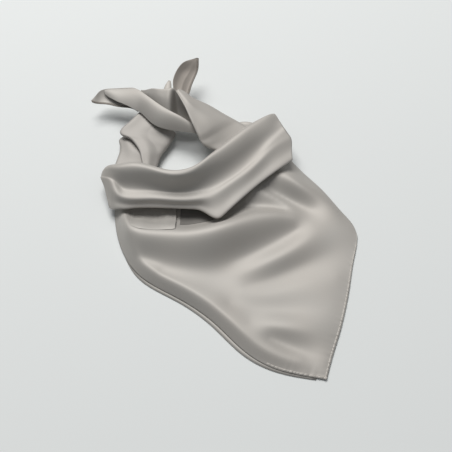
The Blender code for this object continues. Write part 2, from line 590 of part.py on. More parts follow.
def main():
    for old in list(bpy.data.objects):
        bpy.data.objects.remove(old)
    collection = bpy.data.collections.new("neckerchief")
    bpy.context.scene.collection.children.link(collection)
    neck_roll()
    bib()
    strips = {
        "side_left": (SIDE_LEFT, 10, 18), "side_left_tuck": (SIDE_LEFT_TUCK, 6, 10),
        "side_right": (SIDE_RIGHT, 10, 16), "side_right_under": (SIDE_RIGHT_UNDER, 6, 6),
        "knot_wrap": (KNOT_WRAP, 10, 16), "tail_left_front": (TAIL_FRONT, 8, 20),
        "knot_corner": (KNOT_CORNER, 4, 6),
    }
    for name, (rows, across, along) in strips.items():
        sheet(name, lofted(strip_sections(rows)), across, along)
    hemmed("tail_left_back", TAIL_BACK, 5, 12, hem_at_a=True)
    hemmed("tail_up", TAIL_UP, 5, 12, hem_at_a=False)
    sheet("cowl_pleat", resting(lofted(strip_sections(COWL_PLEAT))), 14, 14)
    sheet("cowl_inner", resting(lofted(strip_sections(COWL_INNER))), 10, 8)
    core("side_left_core", [core_ring(row, 0, 0.5, 0.76) for row in SIDE_LEFT[1:-2]])
    core("side_right_core", [core_ring(row, 0, 0.4, 0.8) for row in SIDE_RIGHT[3:-1]])
    core("knot_core", [core_ring(row, 0, 0.3, 0.72) for row in KNOT_WRAP[1:4]], 3)


main()
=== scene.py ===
"""The looks of a satin neckerchief: thin creased cloth, hems with stitches, floor, light and camera.

Each piece follows the form of the frame's node that it stands for. Sizes are in millimetres, with +Z up and
the camera's side at -Y.
"""

import math
from collections import namedtuple
from functools import partial

import bmesh
import bpy
import numpy as np
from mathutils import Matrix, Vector

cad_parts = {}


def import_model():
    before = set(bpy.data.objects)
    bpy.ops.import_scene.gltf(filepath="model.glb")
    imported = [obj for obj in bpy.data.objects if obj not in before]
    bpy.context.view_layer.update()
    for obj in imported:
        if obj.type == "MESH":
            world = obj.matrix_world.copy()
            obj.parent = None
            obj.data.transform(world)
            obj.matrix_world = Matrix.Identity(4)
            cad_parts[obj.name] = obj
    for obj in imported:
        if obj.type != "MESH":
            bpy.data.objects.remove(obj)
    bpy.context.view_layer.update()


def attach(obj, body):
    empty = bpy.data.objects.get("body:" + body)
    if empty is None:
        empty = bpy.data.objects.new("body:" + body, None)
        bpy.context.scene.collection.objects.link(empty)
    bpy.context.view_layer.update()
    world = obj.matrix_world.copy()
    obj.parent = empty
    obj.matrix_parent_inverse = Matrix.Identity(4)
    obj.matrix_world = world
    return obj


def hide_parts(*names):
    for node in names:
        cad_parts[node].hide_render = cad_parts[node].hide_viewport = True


# The cloth.
MM = 0.001
SILK = 0.5  # thickness of one layer of satin
WALL = 1.4  # thickness of the frame's walls, whose middle the satin follows
SEAM = 0.3  # gap between two pieces that meet
FLOOR_LAYER = 0.5 * WALL  # height of the middle of the bib's back layer
SECOND_LAYER = FLOOR_LAYER + SILK + 0.05  # height of the front layer at its borders
CENTRE = (0.5, 3.3, 0.0)  # the frame's origin is under the middle of the laid scarf
UP = np.array((0.0, 0.0, 1.0))

# The bib. Places along and across it go from 0 to 1.
BIB_WIDTH = 190.0  # mean width, from its left side to its right fold
BIB_LENGTH = 210.0  # mean length, from its top to the right hem
HEM_LENGTH = 180.0  # along its right hem
LEFT_LENGTH = 340.0  # along its left side
HEM_LEFT_FROM = 0.82  # where along its left side a hem starts to show
HEM_LEFT_FADE = 0.06  # over how much of that side its puckers start
EDGE_ROLL = 14.0  # how far in from its left side the cloth rolls down over its folded edge
EDGE_PLACES = 800  # how many places of that side are looked at
LINE_SPACING = 6.0  # distance between the places where a line holds the cloth
FOLD_EASE = 60.0  # how far the cloth eases off those lines: more makes rounder ridges and valleys
BORDER_EASE = 2.0  # the same for its borders
BACK_WIDTH = 0.98  # share of the bib's width that the back layer takes
BACK_FROM = 0.01  # where along the bib it starts
BACK_LENGTH = 0.97  # share of the bib's length that it takes

# The neck roll. Its back wall is the one behind the rim.
BACK_FOOT_IN = 0.2  # how far the back wall's foot turns in, as a share of how far the wall stands off
BACK_BULGE = 0.1  # how far its middle bulges out, as a share of the same
BACK_ROUND = 0.8  # how far it starts below the rim, as a share of the same
VALLEY_ROUND = 0.4  # how far its valley is filled by its rounding
LEDGE_CROWN = 0.4  # how far the ledge between its valley and its crest is crowned
FACE_PLACE = 0.6  # how far down the face under the crest it is hollowed, as a share
FACE_HOLLOW = 0.4  # how far it is hollowed there
CURL_MIDDLE_DROP = 3  # most that the middle of the curled edge drops
CURL_DROP = 4  # most that its end drops

# The middle places across a strip, and the one place that its crown lifts most.
STRIP_PLACES = (0, 0.15, 0.5, 0.85, 1)

# The puckers beside a hem, as waves along it.
PUCKER = 8.7  # distance between two of them
PUCKER_DRIFT = 37.0  # length over which that distance changes
PUCKER_UNEVEN = 1.6  # how much it changes
PUCKER_SWELL = 23.0  # length over which their height changes
PUCKER_LOW = 0.55  # share of their height that stays
PUCKER_SHIFT = 1.1  # where along the hem they are highest
FINE_PUCKER = 4.6  # distance between the fine ones, close to the hem
FINE_DRIFT = 19.0  # length over which that distance changes
FINE_UNEVEN = 1.2  # how much it changes
FINE_SHARE = 0.4  # their height and their reach, as a share of the others'
PUCKER_REACH = 5.0  # how far in they fade
PUCKER_RIGHT = 0.22  # their height at the bib's right hem
PUCKER_LEFT = 0.3  # their height at its left hem

# Sheets that rest on the bib.
MERGED = 0.15  # share of the thickness left where a sheet runs into the cloth under it
MERGE_ACROSS = 0.22  # share of its width over which it thins
MERGE_ALONG = 0.16  # share of its length over which it thins
CLEARANCE = 0.05  # least gap under it
LIFT = 0.1  # gap that is added where it isn't merged
PROBE = 0.5  # distance over which the slope under it is measured

# Creases.
NORMAL_STEP = 0.002  # step across a surface that finds its normal
CREASE_PLACES = 60  # how many places of a crease's line are looked at
CREASE_ROUND = 0.5  # how rounded a crease's line is
RIDGE_FOOT = 0.4  # share of a crease's reach that its rounded foot takes

# The rolled hems and their stitches.
HEM = 3.0  # width of a hem
HEM_HEIGHT = 1.3  # how thick it is
HEM_RAISE = 0.1  # how far it stands above the middle of the cloth
HEM_SIDES = 12
HEM_WAIST = 0.3  # share of its height that a stitch draws in
HEM_NARROWING = 0.1  # share of its width that narrows with its height
HEM_STEP = 0.01  # step inwards that finds which way its edge faces
WAIST_POWER = 6  # more makes a waist shorter
UNDER_HEM = 0.3 * (HEM + SEAM) / BIB_LENGTH  # share of the bib's length left to its right hem
STITCH = 4.6  # mean distance between two stitches
STITCH_SLANT = 1.6  # how far a stitch goes on along the hem
STITCH_REACH = 0.54  # how far it reaches to each side, as a share of the hem's width
STITCH_RISE = 0.37  # how high it stands, as a share of the hem's height
STITCH_END = 0.02  # share of a half turn that is left out at each of its ends
STITCH_POINTS = 7
THREAD = 0.3  # thickness of the thread
THREAD_SIDES = 6

# The solids of hidden layers.
LAYER = 1.3  # distance between two grooves at their sides
GROOVE = 0.35  # how deep a groove is
GROOVE_POWER = 4  # more makes a groove narrower
CORE_GAP = 0.5 * WALL + SEAM + 0.5  # how far a core stays under the middle of its strip's wall
CORE_CORNER = 2.5  # how far its upper corners drop
CORE_STEPS = 6  # rings for each row
CORE_PLACES = 5  # places across its top
ROLL_CORE_BOTTOM = 3.6  # height of the bottom of the core inside the neck roll
ROLL_CORE_INSET = 3  # how far it stays inside the roll's back wall
ROLL_CORE_ROUND = 2  # how rounded its lower corners are
ROLL_CORE_SWELL = 1.5  # how far it rises under the roll's outer slope
ROLL_CORE_DROP = 6  # how far below the rim its back corner is
ROLL_CORE_GAP = 0.5 * WALL + SEAM + 0.3  # how far it stays under the middle of the roll's wall
SIDE_HEIGHT = 6.0  # a stretch of a ring that rises more than this is a side, with grooves
SIDE_STEPS = 40
EDGE_STEPS = 2

# Points across and along each kind of sheet, and along a hem.
BACK_GRID = (60, 70)
FRONT_GRID = (190, 200)
ROLL_GRID = (140, 220)
STRIP_GRID = (60, 90)
COWL_GRID = (70, 70)
RIGHT_HEM_STEPS = 900
HEM_STEPS = 300
ROLL_SIZE = (120, 280)  # width and length of the roll's cloth, for its weave

# The floor, the light and the camera, in metres.
FLOOR_COLOUR = (0.80, 0.82, 0.82, 1)
FLOOR_SIZE = 3.0
WORLD_COLOUR = (0.93, 0.97, 1.0, 1)
WORLD_LIGHT = 0.2
KEY_COLOUR = (1.0, 0.99, 0.97)
KEY_LIGHT = 125.0
KEY_PLACE = (-0.65, 1.85, 3.05)
KEY_SIZE = 2.2
CAMERA_TARGET = Vector((0.009, -0.0192, 0.0))
CAMERA_ELEVATION = math.radians(58)
CAMERA_DISTANCE = 0.8663
CAMERA_LENS = 60
CAMERA_SENSOR = 36

# One kind of satin: its colour, the one that it drifts to in patches, and its roughness.
Satin = namedtuple("Satin", "colour warm roughness")

WARM = (0.457, 0.432, 0.402, 1.0)
SHADE = (0.25, 0.225, 0.2, 1.0)
# Painted shade: the satin's colour darkened for the left strips, whose weave lies across the light.
ACROSS_PAINTED_SHADE = (0.385, 0.366, 0.344, 1.0)
# The satin's dull reverse side, its colour also darkened as painted shade for the upturned tail.
REVERSE_WITH_PAINTED_SHADE = (0.365, 0.33, 0.298, 1.0)
# Painted shade: a near-black satin for the sheet deep in the cowl's pocket, under the roll's shadow.
POCKET_SHADE = (0.2, 0.19, 0.178, 1.0)
SATINS = {
    "satin": Satin((0.455, 0.435, 0.408, 1.0), WARM, 0.58),
    "hem satin": Satin((0.44, 0.415, 0.385, 1.0), WARM, 0.55),
    "hem satin in shade": Satin(SHADE, SHADE, 0.65),
    "satin with painted shade across the light": Satin(ACROSS_PAINTED_SHADE, ACROSS_PAINTED_SHADE, 0.58),
    "satin reverse with painted shade": Satin(REVERSE_WITH_PAINTED_SHADE, REVERSE_WITH_PAINTED_SHADE, 0.65),
    "satin with painted pocket shade": Satin(POCKET_SHADE, POCKET_SHADE, 0.7),
}
SATIN_SHEEN = {
    "Specular IOR Level": 0.35,
    "Metallic": 0.3,
    "Sheen Weight": 0.1,
    "Sheen Roughness": 0.4,
    "Sheen Tint": (0.9, 0.88, 0.86, 1),
}
PATCHES = {"Scale": 14.0, "Detail": 2.0}
PATCH_RANGE = {"From Min": 0.4, "From Max": 0.65}
WEAVE = {"Scale": 1.2, "Distortion": 1.5, "Detail": 1.0}
WEAVE_BUMP = {"Strength": 0.12, "Distance": 0.00004}
THREAD_DARK = (0.24, 0.225, 0.21, 1)
THREAD_PALE = (0.38, 0.36, 0.335, 1)
THREAD_ROUGHNESS = 0.6
THREAD_TWIST = {"Scale": 900.0}
FLOOR_SHADER = {"Base Color": FLOOR_COLOUR, "Roughness": 0.9, "Specular IOR Level": 0.1}

# One section across the neck roll at the front, from its high rim through the valley and the crest to its
# low edge. Behind the rim the wall stands off by deep and ends at the height back, and curl is how far the
# low edge turns under.
Roll = namedtuple("Roll", "rim valley crest edge deep back curl")

NECK_ROLL = (
    Roll((-136, 41, 20), (-138, 33, 18), (-133, 21, 16), (-126, -4, 11), 2, 11, 4),
    Roll((-131, 40, 28), (-131, 27, 25), (-126, 13, 22), (-121, -8, 13), 3, 18, 5),
    Roll((-124, 38, 34), (-122, 21, 27.5), (-118, 6, 25), (-116, -9, 15), 4, 22, 6),
    Roll((-115, 36, 38), (-113, 15, 24), (-110, 2, 24.3), (-108, -9, 15), 5, 23, 8),
    Roll((-104, 36, 41), (-103, 12, 23.4), (-101, 0, 24), (-99, -8, 15), 5, 23, 8),
    Roll((-80, 31, 43), (-80, 11, 23.2), (-78, 0, 24), (-77, -7, 15), 5, 22, 8),
    Roll((-51, 21, 45), (-52, 8, 23.2), (-52, -2, 24), (-51, -8, 15), 5, 10, 8),
    Roll((-29, 27, 45), (-33, 9, 23.2), (-33, -2, 24), (-31, -9, 15), 5, 10, 8),
    Roll((-14, 41, 44), (-19, 12, 23.2), (-18, 0, 24), (-17, -13, 15), 5, 20, 8),
    Roll((-5, 51, 43), (-9, 15, 23.4), (-7, 3, 24), (-3, -22, 16), 5, 28, 8),
    Roll((4, 60, 42), (4, 22, 24), (6, 12, 25), (7, -17, 17), 5, 31, 8),
    Roll((15, 72, 41), (19, 33, 25), (21, 24, 26), (21, -3, 19), 5, 31, 8),
    Roll((30, 87, 40), (35, 48, 26), (38, 39, 27), (42, 18, 20), 5, 30, 8),
    Roll((46, 101, 38), (50, 63, 28), (54, 56, 28), (60, 34, 21), 4, 28, 8),
    Roll((61, 113, 35), (63, 78, 30), (69, 71, 29), (75, 46, 22), 3, 27, 6),
    Roll((68, 118, 31), (79, 96, 30), (86, 84, 28), (87, 56, 22), 3, 24, 5),
)

# A place down the roll's outer slope: its share of the way from the rim to the valley, and how far it lies
# above the straight line between them, as a share of the drop.
Slope = namedtuple("Slope", "way above")

ROLL_SLOPE = (Slope(0.35, 0.22), Slope(0.66, 0.0), Slope(0.87, -0.04))

# One section across a flat strip of cloth, from a to b. crown lifts its middle above the line between
# them. drop_a and drop_b are how far the cloth rolls down past each, and roll_a and roll_b how far it
# turns in.
Strip = namedtuple("Strip", "a b crown drop_a roll_a drop_b roll_b", defaults=(0, 2, 0, 2))
Rolled = partial(Strip, drop_a=3, roll_a=1)  # a section that rolls down a little past a

SIDE_LEFT = (
    Strip(a=(-99, 130, 20), b=(-54, 104, 14), crown=3, drop_a=10, roll_a=4, drop_b=10),
    Strip(a=(-112, 114, 18.6), b=(-57, 97, 13), crown=3, drop_a=9, roll_a=4, drop_b=9),
    Strip(a=(-120, 104, 17.4), b=(-60, 91, 12), crown=3.2, drop_a=5, roll_a=2, drop_b=8),
    Rolled(a=(-118, 98, 17), b=(-63, 85, 11.6), crown=3.4, drop_b=8),
    Rolled(a=(-110, 94, 17), b=(-66, 80, 11), crown=3.2, drop_b=7),
    Rolled(a=(-102, 86, 16.6), b=(-69, 74, 11), crown=3, drop_b=7),
    Rolled(a=(-96, 76, 16), b=(-71, 69, 10), crown=3, drop_b=6),
    Rolled(a=(-92, 63, 15), b=(-74, 58, 9), crown=2, drop_b=6),
    Rolled(a=(-90, 54, 14), b=(-76, 49, 9), crown=2, drop_b=6),
    Rolled(a=(-88, 35, 13), b=(-79, 33.5, 9), crown=1, drop_b=6),
)

SIDE_LEFT_TUCK = (
    Strip(a=(-117, 103, 7), b=(-106, 100, 8), crown=1, drop_a=4),
    Strip(a=(-122, 97, 8), b=(-103, 92, 10), crown=2, drop_a=5),
    Strip(a=(-121, 90, 8), b=(-98, 84, 10), crown=3, drop_a=5),
    Strip(a=(-120, 81, 8), b=(-92, 75, 10.7), crown=3, drop_a=5),
    Strip(a=(-122, 69, 8), b=(-88, 65, 9.7), crown=2, drop_a=5),
    Strip(a=(-124, 59, 8), b=(-86, 55, 8), crown=2, drop_a=5),
    Strip(a=(-125, 46, 7), b=(-86, 44, 7), crown=2, drop_a=4),
    Strip(a=(-124, 36, 6), b=(-87, 35, 6), crown=1, drop_a=3),
)

SIDE_RIGHT = (
    Rolled(a=(-52, 141, 47), b=(-48, 145, 46), crown=1, drop_b=14),
    Rolled(a=(-46, 129, 46), b=(-42, 142, 45), crown=1, drop_b=18),
    Rolled(a=(-40, 117, 44), b=(-32, 135, 42), crown=2, drop_b=20),
    Rolled(a=(-34, 103, 41), b=(-17, 129, 38), crown=2, drop_b=22),
    Strip(a=(-27, 88, 36), b=(-2, 121, 34), crown=3, drop_a=4, roll_a=1, drop_b=22),
    Strip(a=(-20, 76, 30), b=(10, 114, 31), crown=3, drop_a=4, roll_a=1, drop_b=20),
    Rolled(a=(-11, 72, 25), b=(20, 109, 28), crown=2, drop_b=17),
    Rolled(a=(4, 68, 22), b=(33, 101, 25), crown=1, drop_b=14),
    Rolled(a=(24, 56, 18), b=(54, 86, 20), crown=1, drop_b=8),
)

SIDE_RIGHT_UNDER = (
    Strip(a=(15, 115, 11), b=(18, 119, 11), crown=0),
    Strip(a=(24, 111.3, 16), b=(29, 117, 18), crown=1, drop_b=14),
    Strip(a=(36, 103.6, 16), b=(45, 114, 18), crown=1, drop_b=14),
    Strip(a=(56, 87, 13), b=(63, 101, 13), crown=1, drop_b=10),
)

KNOT_WRAP = (
    Rolled(a=(-97.5, 149, 28), b=(-96.5, 155.4, 32.8), crown=1, drop_b=8, roll_b=0),
    Rolled(a=(-94, 146, 28), b=(-93, 154, 34), crown=1, drop_b=8, roll_b=0),
    Rolled(a=(-86, 139, 29), b=(-84, 152, 39), crown=2, drop_b=12, roll_b=0),
    Rolled(a=(-77, 130, 30), b=(-75, 148, 43), crown=3, drop_b=15, roll_b=0),
    Rolled(a=(-67, 120, 30), b=(-65, 146, 45), crown=3, drop_b=16, roll_b=0),
    Rolled(a=(-60, 115, 29), b=(-58, 146, 46), crown=2, drop_b=16, roll_b=0),
    Rolled(a=(-54, 112, 25), b=(-54, 145, 43), crown=-7, drop_b=12, roll_b=0),
    Rolled(a=(-47, 108, 20), b=(-49, 140, 37), crown=-9, drop_b=9, roll_b=0),
    Rolled(a=(-39, 106, 17), b=(-42, 132, 31), crown=-7, drop_b=7, roll_b=0),
    Rolled(a=(-32, 106, 16), b=(-35, 125, 25), crown=-2, drop_b=5, roll_b=0),
)

# The left tail is folded along its top: a is the free edge of each layer and b the fold.
TAIL_FRONT = (
    Strip(a=(-143, 156, 26), b=(-144, 160, 27), crown=0),
    Strip(a=(-139, 152, 26), b=(-139, 161, 28), crown=1),
    Strip(a=(-126, 143, 26), b=(-126, 161, 29), crown=1.5),
    Strip(a=(-114, 137, 25.5), b=(-112, 160, 31), crown=2),
    Strip(a=(-104, 131, 25), b=(-102, 157, 33), crown=2.5),
    Strip(a=(-97, 127, 24), b=(-94, 150, 34.3), crown=3),
    Strip(a=(-86, 115, 23.5), b=(-82, 138, 35.8), crown=3.2),
    Strip(a=(-73, 104, 24), b=(-68, 125, 36.8), crown=3.4),
    Strip(a=(-57, 98, 25), b=(-55, 115, 38), crown=3),
    Strip(a=(-41, 94, 27), b=(-40, 106, 36), crown=2),
    Strip(a=(-30, 92, 27), b=(-30, 100, 32), crown=1),
    Strip(a=(-22, 91, 24), b=(-22, 97, 27), crown=0),
)

TAIL_BACK = (
    Strip(a=(-158, 145, 22), b=(-159, 147, 23), crown=0),
    Strip(a=(-154, 144, 21), b=(-154, 153, 25), crown=0),
    Strip(a=(-147, 144, 20), b=(-149, 160, 26), crown=-1),
    Strip(a=(-138, 143, 20), b=(-139, 163, 27), crown=-2),
    Strip(a=(-128, 140, 20), b=(-126, 163, 28), crown=-2),
    Strip(a=(-116, 138, 20), b=(-113, 162, 30), crown=-2),
    Strip(a=(-107, 136, 20), b=(-104, 160, 31), crown=-2),
    Strip(a=(-100, 131, 20), b=(-98, 154, 31), crown=-2),
)

TAIL_UP = (
    Strip(a=(-57, 147.2, 31), b=(-42, 147, 22), crown=-1),
    Strip(a=(-57, 159, 28), b=(-38, 158, 21), crown=-2),
    Strip(a=(-58, 171, 30), b=(-35, 169, 24), crown=-3),
    Strip(a=(-56, 181, 33), b=(-31, 180, 27), crown=-3),
    Strip(a=(-51, 191, 36), b=(-27, 190, 31), crown=-3),
    Strip(a=(-43, 199, 38), b=(-26, 197, 35), crown=-1),
    Strip(a=(-36, 202, 38), b=(-26, 201, 37), crown=0),
    Strip(a=(-29, 204, 39), b=(-26, 204, 38), crown=0),
)

KNOT_CORNER = (
    Strip(a=(-71, 148.8, 30), b=(-61, 147.5, 30), crown=1),
    Strip(a=(-70, 159, 26), b=(-60, 158, 26), crown=1),
    Strip(a=(-68, 169, 26), b=(-60, 168, 26), crown=1),
    Strip(a=(-64, 176, 28), b=(-61, 176, 27), crown=0),
)

COWL_PLEAT = (
    Strip(a=(-99, -34, 20), b=(-102, 2, 5), crown=-3),
    Strip(a=(-92, -39, 21), b=(-94, 2, 5), crown=-3),
    Strip(a=(-80, -41.5, 21), b=(-81, 2, 5), crown=-3),
    Strip(a=(-66, -42, 21), b=(-66, 2, 5), crown=-3),
    Strip(a=(-56, -41.5, 21), b=(-57, 2, 5), crown=-2),
    Strip(a=(-51, -41, 21), b=(-52, 2, 6), crown=-1),
    Strip(a=(-48, -40, 20), b=(-49, 2, 5), crown=-1),
)

COWL_INNER = (
    Strip(a=(-44, -28, 8), b=(-44, 4, 5), crown=1),
    Strip(a=(-26, -24, 8), b=(-26, 4, 5), crown=1),
    Strip(a=(-6, -17, 7), b=(-6, 4, 5), crown=1),
)

# The bib in plan: the rolled left side and lower hem, the fold on the right, the top and the right hem.
BIB_LEFT = (
    (-122, 22), (-120, -10), (-108, -57), (-88, -87), (-45, -115), (-3, -146), (30, -179), (56, -195),
    (84, -203), (111, -208),
)
BACK_LEFT = (
    (-118, 20), (-117, -12), (-107, -58), (-89, -90), (-47, -118), (-5, -150), (27, -182), (53, -197),
    (82, -205), (107, -209),
)
BIB_RIGHT = ((84, 75), (101, 52), (122, 27), (144, -6), (155, -24), (158, -38))
BIB_TOP = ((-122, 22), (-60, 22), (0, 20), (30, 34), (52, 56), (84, 75))
BIB_HEM = (
    (111, -208), (120, -180), (128, -158), (137, -129), (144, -101), (151, -69), (156, -50), (158, -38),
)

# The bib's form, as lines along its ridges, valleys and borders. z is the height of the cloth's middle.
Spot = namedtuple("Spot", "x y z")


def spots(*rows):
    """The spots of one line, each given as its x, y and z."""
    return tuple(Spot(*row) for row in rows)


LEFT_EDGE = spots(
    (-122, 22, 4.6), (-120, -10, 7), (-115, -34, 10), (-108, -57, 10),
    (-88, -87, 9.6), (-45, -115, 9.4), (-3, -146, 9.2), (14, -162, 8.4),
    (30, -179, 6.6), (56, -195, 4), (84, -203, 3), (111, -208, 2.6),
)
LEFT_CREST = spots(
    (-103, -54, 12.6), (-97, -66, 12), (-82, -79, 11.6), (-56, -96, 11.2),
    (-38, -107, 11.2), (-17, -123, 11.2), (3, -139, 11), (16, -151, 10.6),
    (30, -162, 9.6), (49, -171, 8), (68, -181, 6), (86, -187, 4.4),
)
RIM_LEFT = spots(
    (-113, 16, 4.6), (-111, 2, 7), (-109, -9, 9.6), (-106, -19, 15), (-103, -30, 20),
    (-98, -41, 23), (-88, -46, 24), (-69, -47, 24), (-48, -45, 24), (-21, -39, 23.5),
    (7, -30, 22.5), (35, -20, 19.5), (57, -14, 15.6), (73, -14, 12.8), (86, -18, 10),
)
RIM_FOOT = spots(
    (-88, -69, 11), (-66, -76, 9.4), (-38, -80, 8.8), (-10, -79, 7.8), (18, -71, 7),
    (45, -58, 5.6), (68, -44, 5), (88, -31, 5.4),
)
LEFT_FIELD = spots(
    (-62, -87, 9), (-34, -98, 8.6), (-8, -110, 7.8),
)
PLEAT_BACK = spots((-96, -28, 16), (-80, -32, 17), (-64, -33, 17), (-51, -32, 16))
PLEAT_LOW = spots((-97, -16, 4.4), (-80, -17, 4), (-64, -17, 4), (-51, -17, 4))
UNDER_ROLL = spots(
    (-104, 0, 3.4), (-92, -3, 2.8), (-72, -4, 2.8), (-52, -4, 2.8), (-30, -2, 2.8),
    (-8, 0, 3), (8, 8, 3.4),
)
UNDER_CORE = spots((-100, 12, 2.6), (-70, 11, 2.4), (-40, 11, 2.4), (-10, 11, 2.4))
RIM_BACK = spots((-36, -30, 11), (-21, -26, 9), (-7, -24, 8), (7, -20, 8), (26, -12, 10))
POCKET = spots(
    (-38, -18, 3), (-15, -12, 3.4), (6, -6, 4), (22, -1, 4.6), (36, 1, 5),
    (50, 1, 5), (64, -1, 5.2), (76, -5, 5.6),
)
SMALL_RIM = spots(
    (34, 24, 12.6), (46, 20, 11.6), (58, 14, 9.8), (70, 9, 7.8), (80, 2, 6.6),
    (90, -6, 6),
)
UPPER_VALLEY = spots(
    (44, 33, 11.6), (57, 24, 8), (68, 18, 5.2), (80, 12, 3.6), (95, 4, 3.4),
    (108, -3, 4),
)
RIGHT_CREST = spots(
    (56, 49, 12), (63, 45, 14.6), (74, 38, 16), (86, 30, 16), (102, 19, 12.6),
    (116, 9, 8), (128, -1, 6), (140, -16, 4.4), (150, -32, 3),
)
RIGHT_BAND = spots(
    (90, 46, 10), (98, 36, 9.6), (112, 24, 8), (125, 11, 6), (137, -4, 4.6),
)
SECOND_VALLEY = spots(
    (20, -76, 6.4), (45, -66, 6.4), (68, -55, 6.6), (90, -40, 7), (106, -26, 7.4),
)
SECOND_CREST = spots(
    (22, -90, 6), (44, -81, 8), (64, -71, 9), (84, -59, 9), (102, -44, 8.4),
    (118, -30, 7), (130, -22, 6),
)
SECOND_FOOT = spots(
    (30, -104, 4.6), (50, -95, 3.8), (72, -84, 3), (94, -73, 2.8), (114, -64, 3),
    (134, -56, 3),
)
MIDDLE = spots(
    (26, -110, 5.6), (52, -113, 5), (78, -106, 4.6), (104, -96, 4.2), (130, -90, 3.4),
)
LOWER_TROUGH = spots(
    (12, -124, 6.2), (42, -129, 4.4), (76, -133, 4), (104, -130, 3.8),
    (122, -126, 3.2),
)
LOWER_SWELL = spots(
    (34, -146, 7.4), (58, -152, 8.4), (80, -156, 8), (102, -158, 6),
    (118, -160, 3.4),
)
POINT_VALLEY = spots(
    (54, -164, 4.6), (66, -169, 2.8), (78, -175, 2.2), (90, -179, 2.2),
    (102, -182, 2.8),
)
POINT = spots((96, -198, 2.6), (106, -196, 2.6), (112, -184, 2.6))
BIB_LINES = (
    LEFT_EDGE, LEFT_CREST, RIM_LEFT, RIM_FOOT, LEFT_FIELD, PLEAT_BACK, PLEAT_LOW, UNDER_ROLL, UNDER_CORE,
    RIM_BACK, POCKET, SMALL_RIM, UPPER_VALLEY, RIGHT_CREST, RIGHT_BAND, SECOND_VALLEY, SECOND_CREST,
    SECOND_FOOT, MIDDLE, LOWER_TROUGH, LOWER_SWELL, POINT_VALLEY, POINT,
)

# A soft swell on a resting sheet, at the place u, v and reaching across and along it.
Swell = namedtuple("Swell", "u v height across along")

PLEAT_SWELLS = (
    Swell(u=0.5, v=0.26, height=1.8, across=0.35, along=0.14),
    Swell(u=0.6, v=0.8, height=1.6, across=0.4, along=0.12),
    Swell(u=0.28, v=0.52, height=0.8, across=0.14, along=0.24),
)

# A crease on a strip: a line of places across and along it. height is how far the cloth stands out there,
# or sinks where it is negative, and width how far that reaches to each side, both in millimetres.
Crease = namedtuple("Crease", "u v height width")

CREASES = {
    "tail_up": [(
        Crease(0.42, 0.04, 0.8, 7), Crease(0.5, 0.3, 1.3, 9), Crease(0.56, 0.55, 1.1, 9),
        Crease(0.66, 0.85, 0.1, 6),
    )],
    "side_left": [(
        Crease(0.5, 0.04, 0.1, 9), Crease(0.46, 0.18, 0.7, 12), Crease(0.58, 0.34, 0.5, 12),
        Crease(0.7, 0.5, 0.1, 9),
    )],
    "side_right": [(
        Crease(0.12, 0.4, 0.1, 5), Crease(0.08, 0.55, 1.0, 6), Crease(0.3, 0.62, 0.6, 9),
        Crease(0.7, 0.68, 0.1, 7),
    ), (
        Crease(0.4, 0.12, 0.1, 8), Crease(0.45, 0.3, 0.5, 10), Crease(0.6, 0.5, 0.5, 11),
        Crease(0.75, 0.75, 0.1, 8),
    )],
}

# A sheet's flat size and its area as cloth, in metres.
Flat = namedtuple("Flat", "size area")

# One strip as a sheet: its rows, the width and length of its cloth, its area in square millimetres, the
# piece that it rests on and the name of its satin.
Band = namedtuple("Band", "rows size area rests_on satin", defaults=("satin",))

BANDS = {
    "side_left": Band(SIDE_LEFT, (80, 116), 4220, "cloth_tail_left_front", "satin with painted shade across the light"),
    "side_left_tuck": Band(SIDE_LEFT_TUCK, (45, 70), 2470, "cloth_side_left", "satin with painted shade across the light"),
    "side_right": Band(SIDE_RIGHT, (77, 126), 7090, "cloth_neck_roll"),
    "side_right_under": Band(SIDE_RIGHT_UNDER, (16, 53), 640, "cloth_side_right"),
    "knot_wrap": Band(KNOT_WRAP, (57, 84), 3310, "cloth_tail_left_front"),
    "tail_left_front": Band(TAIL_FRONT, (29, 145), 2810, "cloth_knot_wrap"),
    "knot_corner": Band(KNOT_CORNER, (10.5, 30), 277, "cloth_knot_wrap"),
    "tail_left_back": Band(TAIL_BACK, (27, 72), 1390, "cloth_tail_left_front"),
    "tail_up": Band(TAIL_UP, (27, 73), 1390, "cloth_knot_wrap", "satin reverse with painted shade"),
}
HEMMED_EDGE = {"tail_left_back": 0, "tail_up": 1}  # the edge of a strip where its rolled hem shows

# One sheet inside the cowl's pocket, lying on the bib: its rows, its size, how far it rises at its right
# edge, its swells, the name of its satin, and whether it merges into the bib on its left and below.
Fill = namedtuple("Fill", "rows size rise swells satin merges")

FILLS = {
    "cowl_pleat": Fill(COWL_PLEAT, (48, 54), 2.2, PLEAT_SWELLS, "satin", True),
    "cowl_inner": Fill(COWL_INNER, (30, 37), 0.8, (), "satin with painted pocket shade", False),
}

# One solid of hidden layers under a strip: the rows that it lies under, and where across them it starts
# and ends.
Core = namedtuple("Core", "rows first last")

CORES = {
    "side_left_core": Core(SIDE_LEFT[1:-2], 0.5, 0.76),
    "side_right_core": Core(SIDE_RIGHT[3:-1], 0.4, 0.8),
    "knot_core": Core(KNOT_WRAP[1:4], 0.3, 0.72),
}
ROLL_CORE_ROWS = NECK_ROLL[5:9]

# How far a hem's stitches drift from even spacing: a wave with its amount, reach and shift.
Drift = namedtuple("Drift", "amount reach shift")

STITCH_DRIFTS = (Drift(1.1, 5.3, 0.0), Drift(0.7, 2.9, 2.0))

# The line of a hem: its edge, the directions outward, along it and up from it, and the length so far.
HemLine = namedtuple("HemLine", "edge outward forward raised length")


